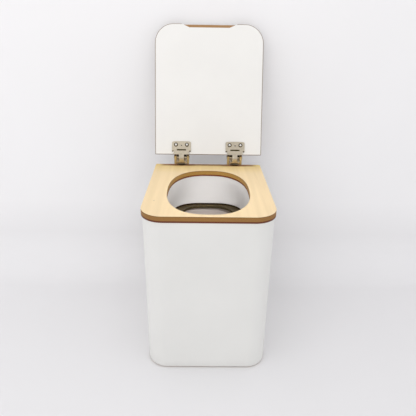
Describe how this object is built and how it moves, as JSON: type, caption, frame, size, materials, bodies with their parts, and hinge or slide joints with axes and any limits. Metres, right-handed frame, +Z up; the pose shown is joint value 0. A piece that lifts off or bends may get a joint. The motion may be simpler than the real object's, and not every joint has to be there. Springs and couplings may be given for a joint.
{
  "type": "dry toilet",
  "caption": "Free-standing dry toilet: white round-cornered box, lift-off plywood seat plate with oval hole and splash skirt, hinged lid, loose tub inside.",
  "frame": {"origin": "on the floor under the middle of the whole outline, with the lid open", "axes": "+Z up, the front of the seat faces -Y, +X is to the right seen from the front"},
  "size_m": [0.36, 0.5608, 0.9471],
  "materials": {
    "white_board": "white satin faced bending board",
    "white_lid": "white satin faced plywood, bare edges",
    "birch_ply": "clear oiled birch plywood, laser-browned edges",
    "plain_ply": "raw plywood and softwood",
    "nickel": "bright nickel plate",
    "zinc_steel": "bright zinc plate",
    "tub_plastic": "white moulded plastic",
    "skirt_plastic": "white satin sheet",
    "rubber": "black rubber"
  },
  "bodies": {
    "box": {"shell": "white_board", "base_plate": "plain_ply", "back_panel": "white_board", "corner_batten_left": "plain_ply", "corner_batten_right": "plain_ply", "pad_front_left": "rubber", "pad_front_right": "rubber", "pad_rear_left": "rubber", "pad_rear_right": "rubber", "back_screw_1": "zinc_steel", "back_screw_2": "zinc_steel", "back_screw_3": "zinc_steel", "back_screw_4": "zinc_steel", "back_screw_5": "zinc_steel", "back_screw_6": "zinc_steel"},
    "seat_top": {"seat_plate": "birch_ply", "seat_batten_left": "plain_ply", "seat_batten_right": "plain_ply", "splash_skirt": "skirt_plastic", "skirt_ring": "plain_ply", "skirt_clip_1": "plain_ply", "skirt_clip_2": "plain_ply", "skirt_clip_3": "plain_ply", "skirt_clip_4": "plain_ply", "hinge_bracket_left": "nickel", "hinge_pin_left": "zinc_steel", "bracket_screw_left_1": "zinc_steel", "bracket_screw_left_2": "zinc_steel", "hinge_bracket_right": "nickel", "hinge_pin_right": "zinc_steel", "bracket_screw_right_1": "zinc_steel", "bracket_screw_right_2": "zinc_steel"},
    "lid": {"lid_panel": "white_lid", "hinge_leaf_left": "nickel", "leaf_screw_left_1": "zinc_steel", "leaf_screw_left_2": "zinc_steel", "hinge_leaf_right": "nickel", "leaf_screw_right_1": "zinc_steel", "leaf_screw_right_2": "zinc_steel"},
    "tub": {"tub": "tub_plastic"}
  },
  "joints": [
    {"name": "seat_lift", "type": "slide", "parent": "box", "child": "seat_top", "axis": [0, 0, 1], "range_m": [0, 0.15]},
    {"name": "lid_hinge", "type": "hinge", "parent": "seat_top", "child": "lid", "pos_m": [0, 0.15609, 0.5245], "axis": [1, 0, 0], "range_deg": [0, 107.7]},
    {"name": "tub_lift", "type": "slide", "parent": "box", "child": "tub", "axis": [0, 0, 1], "range_m": [0, 0.03]}
  ]
}
